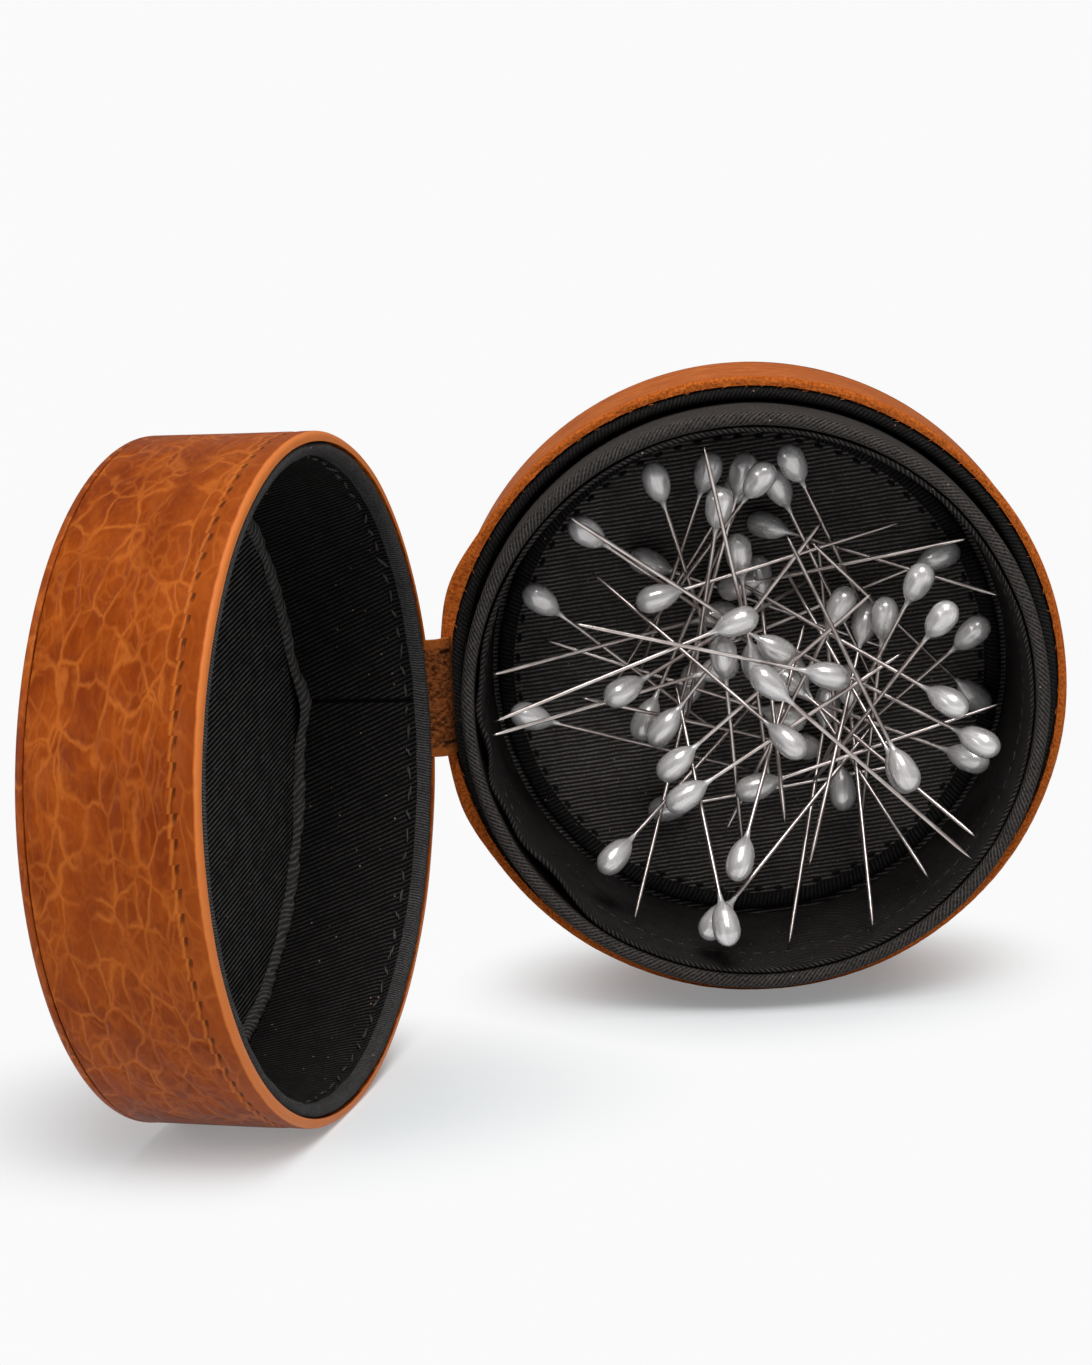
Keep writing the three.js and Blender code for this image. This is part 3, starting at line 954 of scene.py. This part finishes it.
# %% [markdown]
# The base's band is like the lid's, but it isn't sewn at the mouth. Its cut edge is a little frayed.
# Beside the strap the leather stands off the rim, because the fold of the hinge pushes it out. Short
# loose fibres lie along the cut edge.

# %% Leather of the base
def flare_at_hinge(bm):
    """Swells the band's mouth outwards on either side of the strap, and the upper side more."""
    above_strap, below_strap = -22, 21
    swell, reach = 1.3 * mm, 9 * mm
    for vert in bm.verts:
        angle = turn_from(angle_of(vert), 180)
        beside = math.exp(-((angle - above_strap) / 9) ** 2)
        beside += 0.5 * math.exp(-((angle - below_strap) / 8) ** 2)
        near_mouth = max(0.0, 1 + vert.co.z / reach) ** 2
        outside = min(1.0, max(0.0, (math.hypot(vert.co.x, vert.co.y) - wall_inner) / leather))
        move_out(vert, swell * beside * near_mouth * outside)


def fray_edge(bm, amount, size):
    """Makes the mouth's edge uneven."""
    for vert in bm.verts:
        if vert.co.z > -0.8 * mm:
            vert.co.z += noise.noise(vert.co / size) * amount


def fibre_material():
    """Loose fibres of the cut edge, in a paler and a darker brown."""
    material, _, place = start_material("leather_fibre")
    body = mixed(ramp(noise_at(place, 400.0), 0.4, 0.6), colour(150, 70, 24), colour(214, 120, 56))
    return finished(material, Base_Color=body, Roughness=0.9)


bm = spun(wall_profile(base_height), segments=480)
map_round(bm, case_radius)
flare_at_hinge(bm)
fray_edge(bm, amount=0.14 * mm, size=0.9 * mm)
push_by_noise(bm, amount=0.12 * mm, size=14 * mm, seed=9.0)
add_piece(bm, "base_leather_band", base_place, [base_leather], "base", ["base_leather_wall"])

bm = bmesh.new()
fibre_count = 260
for i in range(fibre_count):
    spread = scattered(i)
    turn = Matrix.Rotation(2 * math.pi * (i + spread) / fibre_count, 4, "Z")
    spot = Matrix.Translation((case_radius - (0.7 + 0.8 * spread) * mm, 0, 0.08 * mm))
    lie = Matrix.Rotation(math.pi * (0.35 + 0.5 * scattered(i, 0.371)), 4, "Z")
    length = (0.5 + 0.6 * scattered(i, 0.271)) * mm
    add_stitch(bm, turn @ spot @ lie, length, width=0.08 * mm)
add_piece(bm, "base_leather_fibres", base_place, [fibre_material()], "base")

bm = spun(end_profile(base_height), closed=False)
map_round(bm, case_radius)
map_flat(bm, case_radius - edge_round / 2)
add_piece(bm, "base_leather_end", base_place, [end_leather], "base", ["base_leather_bottom"])

bm = spun(rim_profile(base_rim_inner, -1.9 * mm), segments=360)
map_round(bm, binding_outer)
push_by_noise(bm, amount=0.06 * mm, size=4 * mm, seed=6.0)
add_piece(bm, "base_rim_fold", base_place, [rim_twill], "base", ["base_rim_binding"])

# %% [markdown]
# The collar stands out of the base and plugs into the lid. Its cloth is folded over a ring of board.
# Inside it the wall's lining ends in a fold of its own, and a dark slit is left between the two. At
# the lower left the lining has come away and sags inwards, and near the hinge it is crumpled.

# %% Collar and linings of the base
collar_thickness = collar_outer - collar_inner


def collar_profile():
    """The cover of the collar: its skirt, the round top and the inside."""
    half = collar_thickness / 2
    foot = -base_height / 2
    skin = 0.35 * mm
    profile = run((collar_outer, foot), (collar_outer, collar_height - half), 30)
    profile += arc((collar_inner + half, collar_height - half), half, 0, 180, 14)
    profile += run((collar_inner, collar_height - half - 0.5 * mm), (collar_inner, foot), 16)
    profile += [(collar_inner, foot), (collar_inner + skin, foot)]
    profile += [(collar_inner + skin, collar_height - half), (collar_outer - skin, collar_height - half)]
    return profile + [(collar_outer - skin, foot)]


bm = spun(collar_profile(), segments=360)
map_round(bm, collar_outer)
push_by_noise(bm, amount=0.1 * mm, size=11 * mm, seed=8.0)
add_piece(bm, "collar_wrap", base_place, [collar_twill], "base", ["collar_cover"])


def sag_lining(bm):
    """Lets the lining's fold come away at the lower left and crumple near the hinge."""
    sag_at, crumple_at = -142, -170
    starts_below = 4 * mm
    for vert in bm.verts:
        angle = angle_of(vert)
        rise = min(1.0, max(0.0, (vert.co.z + starts_below) / (lining_top + starts_below)))
        sag = 1.5 * mm * math.exp(-(turn_from(angle, sag_at) / 9) ** 2)
        crumple = 0.55 * mm * math.exp(-(turn_from(angle, crumple_at) / 17) ** 2)
        crumple *= 1 + 0.9 * math.sin(math.radians(angle * 22) + 500 * vert.co.z)
        move_out(vert, -(sag + crumple) * rise ** 2)


def lining_profile():
    """The base's lining: up the inside, over a narrow fold and down the outside."""
    half = (lining_outer - lining_inner) / 2
    foot = base_floor - floor_cloth
    profile = run((lining_inner, foot), (lining_inner, lining_top - half), 44)
    profile += arc((lining_inner + half, lining_top - half), half, 180, 0, 8)
    profile += run((lining_outer, lining_top - 2 * half), (lining_outer, foot), 24)
    return profile + [(lining_outer, foot)]


bm = spun(lining_profile(), segments=480)
map_round(bm, lining_outer, ends_at=90)
sag_lining(bm)
push_by_noise(bm, amount=0.12 * mm, size=7 * mm, seed=12.0)
push_by_noise(bm, amount=0.05 * mm, size=1.6 * mm, seed=13.0)
base_cloth = add_piece(bm, "base_wall_cloth", base_place, [lining_twill], "base",
                       ["base_wall_lining"])

lining_line = 3.0 * mm
bm = ring_of_stitches(lining_inner - 0.03 * mm, lining_line, pitch=2.2 * mm,
                      length=1.3 * mm, width=0.22 * mm, skew=0.1, uneven=0.8)
add_piece(bm, "base_lining_stitches", base_place, [black_thread], "base")

base_floor_radius = lining_inner - glue
bm = spun(disc_profile(base_floor_radius, base_floor - floor_cloth, base_floor), closed=False)
map_flat(bm)
push_by_noise(bm, amount=0.05 * mm, size=9 * mm, seed=15.0)
base_floor_cloth = add_piece(bm, "base_floor_cloth", base_place, [floor_twill], "base",
                             ["base_floor_lining"])

# %% [markdown]
# The linings are cloth that was cut flat: a long strip for each wall and a disc for each floor.


# %% [markdown]
# The hinge is one strap of the same leather, with its suede side to the front. It starts as a flat grid,
# long enough for both leaves and the fold between them. Each row of points is then carried to its
# place on the path: down the base's wall, round the hinge line, and up the lid's wall. The leaves
# also take the walls' curve. fold_faces is the way that the middle of the fold bulges.

# %% Strap
def strap_material():
    """Suede: matt brown with a short nap, paler at its two long edges, and a stitch near each."""
    stitch_at, stitch_half = 0.0066, 0.0006
    material, place, _ = start_material("strap_suede")
    nap = noise_at(place, 1700.0, 4.0, 0.75)
    patch = noise_at(place, 420.0, 3.0, 0.6)
    body = mixed(ramp(patch, 0.35, 0.68), colour(70, 33, 12), colour(112, 57, 24))
    body = mixed(ramp(nap, 0.4, 0.66, 0.0, 0.7), body, colour(172, 100, 52))
    body = mixed(ramp(nap, 0.46, 0.34, 0.0, 0.7), body, colour(50, 24, 10))
    across, up = x_and_y(place)
    body = mixed(ramp(abs(up), 0.0069, 0.0076, 0.0, 0.6), body, colour(182, 98, 40))
    line = ramp(abs(abs(up) - stitch_at), 0.00035, 0.00012)
    stitch = line * ramp(abs(patch * 0.001 + across), stitch_half + 0.0002, stitch_half)
    body = mixed(stitch * 0.85, body, colour(34, 16, 8))
    return finished(material, Base_Color=body, Roughness=0.95, Normal=bump(nap - stitch * 1.5, 0.00022),
                    Specular_IOR_Level=0.1)


strap_reach = 7 * mm
strap_thickness = 1.0 * mm
fold_radius = 0.55 * mm
fold_turn = open_angle
fold_length = fold_radius * fold_turn
fold_faces = math.radians(-(180 - math.degrees(open_angle)) / 2) - math.radians(13.5)


def strap_point(distance, height):
    """A point of the strap's inner face: distance from the middle of the fold, height above the hinge's."""
    sag = case_radius - math.sqrt(case_radius ** 2 - height ** 2)
    half = fold_length / 2
    past = max(0.0, abs(distance) - half)
    settle = min(1.0, past / (3 * mm))
    side = 1 if distance < 0 else -1
    turn = min(1.0, abs(distance) / half) * fold_turn / 2
    angle = fold_faces + side * turn
    radius = fold_radius + strap_thickness + sag * settle
    outward = Vector((math.cos(angle), math.sin(angle), 0))
    along = Vector((-math.sin(angle), math.cos(angle), 0)) * side
    return outward * radius + along * past + Vector((0, 0, height))


def spread_out(distance):
    """The distance along the strap's outer face, which is longer round the fold."""
    round_fold = min(abs(distance), fold_length / 2)
    longer = abs(distance) + round_fold * strap_thickness / fold_radius
    return math.copysign(longer, distance)


bm = bmesh.new()
bmesh.ops.create_grid(bm, x_segments=72, y_segments=40, size=1)
uv = bm.loops.layers.uv.new("map")
strap_half = fold_length / 2 + strap_reach
for face in bm.faces:
    for loop in face.loops:
        loop[uv].uv = (spread_out(loop.vert.co.x * strap_half), loop.vert.co.y * strap_width / 2)
for vert in bm.verts:
    vert.co = hinge + strap_point(vert.co.x * strap_half, strap_rise + vert.co.y * strap_width / 2)
bmesh.ops.recalc_face_normals(bm, faces=bm.faces)
bmesh.ops.solidify(bm, geom=list(bm.faces), thickness=strap_thickness)
strap = add_piece(bm, "hinge_strap", Matrix.Identity(4), [strap_material()], None)
base_end_of_fold = hinge + strap_point(-fold_length / 2, strap_rise)
lid_end_of_fold = hinge + strap_point(fold_length / 2, strap_rise)
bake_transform(strap, "base", "lid", start=base_end_of_fold, end=lid_end_of_fold)
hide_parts("hinge_strap_base", "hinge_strap_lid")
print("fold from", base_end_of_fold - hinge, "to", lid_end_of_fold - hinge)

# %% [markdown]
# A pin is a steel wire with a point at one end and a pearl drop at the other. The pearl narrows to a
# pale neck, where the coating runs up the wire. One profile is spun once, and copies of the result are
# laid where the solid model has its pins: the two ends of a pin are the two points of its solid that
# are farthest apart, and the pearl's end is the one with more of the solid round it.

# %% Pin shape and finishes
def pearl_material():
    """A pearly coating: half metallic, streaked along the drop, with a painted dark reflection of the case
    where it turns away.
    """
    material, place, solid = start_material("pearl")
    streaks = noise_at(stretched(place, (1.0, 0.14, 1.0)), 1300.0, 3.0, 0.55)
    cloud = noise_at(solid, 320.0, 3.0)
    # Painted reflection: the drop is darkened where it turns away, for the dark case that it mirrors at its
    # rim.
    facing = add_node(place.tree, "LayerWeight", {"Blend": 0.35}, "Facing")
    body = mixed(ramp(streaks, 0.35, 0.68), colour(212, 207, 206), colour(246, 243, 242))
    body = mixed(facing * 0.65, body, colour(128, 122, 121))
    return finished(material, Base_Color=body, Metallic=0.35, Roughness=ramp(cloud, 0.2, 0.8, 0.2, 0.32),
                    Normal=bump(streaks, 0.00003), Coat_Weight=1.0, Coat_Roughness=0.1)


def steel_material():
    """Polished steel wire that is a little warm from what it mirrors."""
    material, _, place = start_material("pin_steel")
    streak = noise_at(place, 420.0, 1.0)
    body = mixed(ramp(streak, 0.3, 0.7), colour(204, 191, 186), colour(228, 219, 215))
    return finished(material, Base_Color=body, Metallic=1.0, Roughness=ramp(streak, 0.25, 0.75, 0.3, 0.38))


pin_length = 41 * mm
wire_radius = 0.3 * mm
pearl_radius = 2.0 * mm
pearl_length = 6.3 * mm
neck_length = 1.5 * mm
pearl = pearl_material()
steel = steel_material()


def pearl_radius_at(share):
    """The drop's radius at a share of its length: a round end, its widest part, then a taper."""
    widest = 0.38
    if share < widest:
        return pearl_radius * math.sqrt(1 - ((widest - share) / widest) ** 2)
    past = (share - widest) / (1 - widest)
    return pearl_radius * (1 - 0.62 * past ** 2.7)


def pin_profile():
    """The pin's outline from the pearl's round end to its point, and how many points are coated."""
    widest_steps, taper_steps = 8, 11
    shares = [0.38 * (1 - math.cos(math.pi / 2 * i / widest_steps)) for i in range(widest_steps + 1)]
    shares += [0.38 + 0.62 * i / taper_steps for i in range(1, taper_steps + 1)]
    profile = [(pearl_radius_at(share), share * pearl_length) for share in shares]
    profile.append((1.8 * wire_radius, pearl_length + 0.18 * neck_length))
    profile.append((1.3 * wire_radius, pearl_length + 0.5 * neck_length))
    profile.append((wire_radius, pearl_length + neck_length))
    coated = len(profile)
    profile += [(wire_radius, pin_length * 0.45), (wire_radius, pin_length - 3 * mm)]
    profile += [(0.62 * wire_radius, pin_length - 1.3 * mm), (0, pin_length)]
    return profile, coated


pin_points, coated_points = pin_profile()
coated_to = pin_points[coated_points - 1][1]
pin_shape = spun(pin_points, closed=False, segments=20)
map_round(pin_shape, pearl_radius)
for face in pin_shape.faces:
    face.material_index = 0 if face.calc_center_median().z < coated_to else 1


def add_pin(name, place, stands_for=()):
    """A copy of the pin's shape with its pearl's end at the place and its point along +z of it."""
    return add_piece(pin_shape.copy(), name, place, [pearl, steel], "base", stands_for)


def pin_ends(node):
    """Where the pearl's round end and the point of a CAD pin are."""
    spots = np.array([vert.co for vert in frame["nodes"][node].data.vertices])
    point = spots[np.argmax(np.linalg.norm(spots - spots.mean(0), axis=1))]
    pearl_end = spots[np.argmax(np.linalg.norm(spots - point, axis=1))]
    return Vector(pearl_end), Vector(point)


def along_line(start, end):
    """The place of a shape whose z axis runs from start to end."""
    turn = (end - start).to_track_quat("Z", "Y").to_matrix().to_4x4()
    return Matrix.Translation(start) @ turn


laid_pins = []
for node in sorted(name for name in frame["nodes"] if name.startswith("pin_")):
    start, end = pin_ends(node)
    add_pin("pearl_" + node, along_line(start, end), [node])
    laid_pins.append((start, end))
print(len(laid_pins), "pins laid")

# %% [markdown]
# The real case holds more pins than the solid model has. The others are added here in the same way:
# each has a planned place over the base's floor and falls to the lowest height at which it touches
# neither the floor nor a pin that is already in. To find that height, a pin is taken as a row of
# stations, and every pair of stations that are close in plan blocks a span of heights. A pin may turn
# a little from its planned heading to lie lower, as a real one rolls down, and it is left out where
# it would still stand too high for the closed lid.

# %% More pins
pin_gap = 0.3 * mm
station_step = 0.5 * mm
station_at = np.arange(0, pin_length, station_step)
pin_radii, pin_heights = zip(*pin_points)
station_radius = np.interp(station_at, pin_heights, pin_radii)
more_pins = [
    (-17, 18, -35, 0), (15, 13, -125, 0), (-15, -8, 50, 5), (0, 10, 130, -30), (-4, 8, -99, 25),
    (-21, 0, 17, 30), (1, 31, -123, 30), (1, 34, -95, 25), (4, 31, -73, 30), (-17, -8, 63, 30),
    (22, -14, 126, 25), (8, -8, 171, 0), (-3, -16, 28, 5), (-14, -12, 44, 10), (-13, -16, 42, 15),
    (7, -9, 144, 30), (-4, 11, -150, -20), (14, 1, 170, -15), (-16, 13, 13, 10), (5, 0, -55, -20),
    (-13, 10, 155, -30),
]


def stations_between(start, end):
    """The x, y and z of the stations on a pin, in the base's own frame."""
    direction = (end - start).normalized()
    return np.array([start + direction * distance for distance in station_at])


def kept_inside(start, end):
    """Slides a pin along itself, and nearer the middle if it must, until the lining clears both ends."""
    free = lining_inner - pin_gap
    along = (end - start).normalized()
    for _ in range(200):
        pearl_out = start.xy.length > free - pearl_radius
        tip_out = end.xy.length > free - wire_radius
        if not (pearl_out or tip_out):
            break
        slide = along * (0.5 * mm) * (pearl_out - tip_out)
        pull = (start + end) / 2 * 0.02
        pull.z = 0
        start, end = start + slide - pull, end + slide - pull
    return start, end


def settled_height(stations, laid):
    """How far to lift a pin so that it clears the floor, its seam and the pins that are in."""
    room = station_radius + pin_gap
    from_seam = abs(np.hypot(stations[:, 0], stations[:, 1]) - seam_radius)
    ground = np.where(from_seam < seam_width / 2 + room, base_floor + glue + seam_height, base_floor)
    height = np.max(ground + room - stations[:, 2])
    others = np.concatenate(laid)
    their_radius = np.tile(station_radius, len(laid))
    reach = room[:, None] + their_radius[None, :]
    apart = np.hypot(stations[:, 0, None] - others[None, :, 0], stations[:, 1, None] - others[None, :, 1])
    mine, theirs = np.nonzero(apart < reach)
    half = np.sqrt(reach[mine, theirs] ** 2 - apart[mine, theirs] ** 2)
    level = others[theirs, 2] - stations[mine, 2]
    for low, high in sorted(zip(level - half, level + half)):
        if low < height < high:
            height = high
    return height


def tried_place(across, up, heading, lean):
    """A pin's two ends at its resting height, its stations there, and how high it reaches."""
    slope = math.radians(lean)
    run_out = Vector((math.cos(math.radians(heading)), math.sin(math.radians(heading)), 0)) * math.cos(slope)
    start = Vector((across * mm, up * mm, 0))
    end = start + (run_out - Vector((0, 0, math.sin(slope)))) * pin_length
    start, end = kept_inside(start, end)
    stations = stations_between(start, end)
    lift = Vector((0, 0, settled_height(stations, laid_stations)))
    stations += np.array(lift)
    return start + lift, end + lift, stations, stations[:, 2].max() + pearl_radius


to_base = base_place.inverted()
ceiling = 16 * mm
laid_stations = [stations_between(to_base @ start, to_base @ end) for start, end in laid_pins]
highest = 0
for across, up, heading, lean in more_pins:
    tries = [tried_place(across, up, heading + turn, lean * share)
             for turn in (0, 6, -6, 12, -12) for share in (1, 0.5)]
    start, end, stations, top = min(tries, key=lambda tried: tried[3])
    if top > ceiling:
        continue
    laid_stations.append(stations)
    highest = max(highest, top)
    add_pin(f"pearl_pin_{len(laid_stations)}", base_place @ along_line(start, end))
print(len(laid_stations), "pins, the added ones up to", round(highest / mm, 1), "mm before the mouth")

# %% [markdown]
# The boards and the magnet are hidden in the walls and floors. They keep their solids and get a finish
# of their own, for anyone who takes the case apart.

# %% Hidden layers
def board_material():
    """Grey-brown pulp board with its flecks."""
    material, _, place = start_material("grey_board")
    pulp = noise_at(place, 900.0, 5.0, 0.7)
    body = mixed(ramp(pulp, 0.35, 0.65), colour(122, 110, 92), colour(158, 146, 124))
    return finished(material, Base_Color=body, Roughness=0.9, Normal=bump(pulp, 0.00006))


def magnet_material():
    """Dark pressed ferrite."""
    material, _, place = start_material("ferrite")
    grit = noise_at(place, 1600.0, 4.0, 0.6)
    body = mixed(grit, colour(58, 60, 63), colour(96, 99, 103))
    return finished(material, Base_Color=body, Metallic=0.6, Roughness=ramp(grit, 0.3, 0.7, 0.4, 0.6),
                    Normal=bump(grit, 0.00003))


board = board_material()
ferrite = magnet_material()
hidden = {"magnet": ferrite}
for node in ("base_bottom_board", "base_wall_board", "collar_board", "magnet_ring_board", "lid_top_board",
             "lid_wall_board"):
    hidden[node] = board
for node, material in hidden.items():
    slots = frame["nodes"][node].data.materials
    slots.clear()
    slots.append(material)
print(len(hidden), "hidden nodes finished")
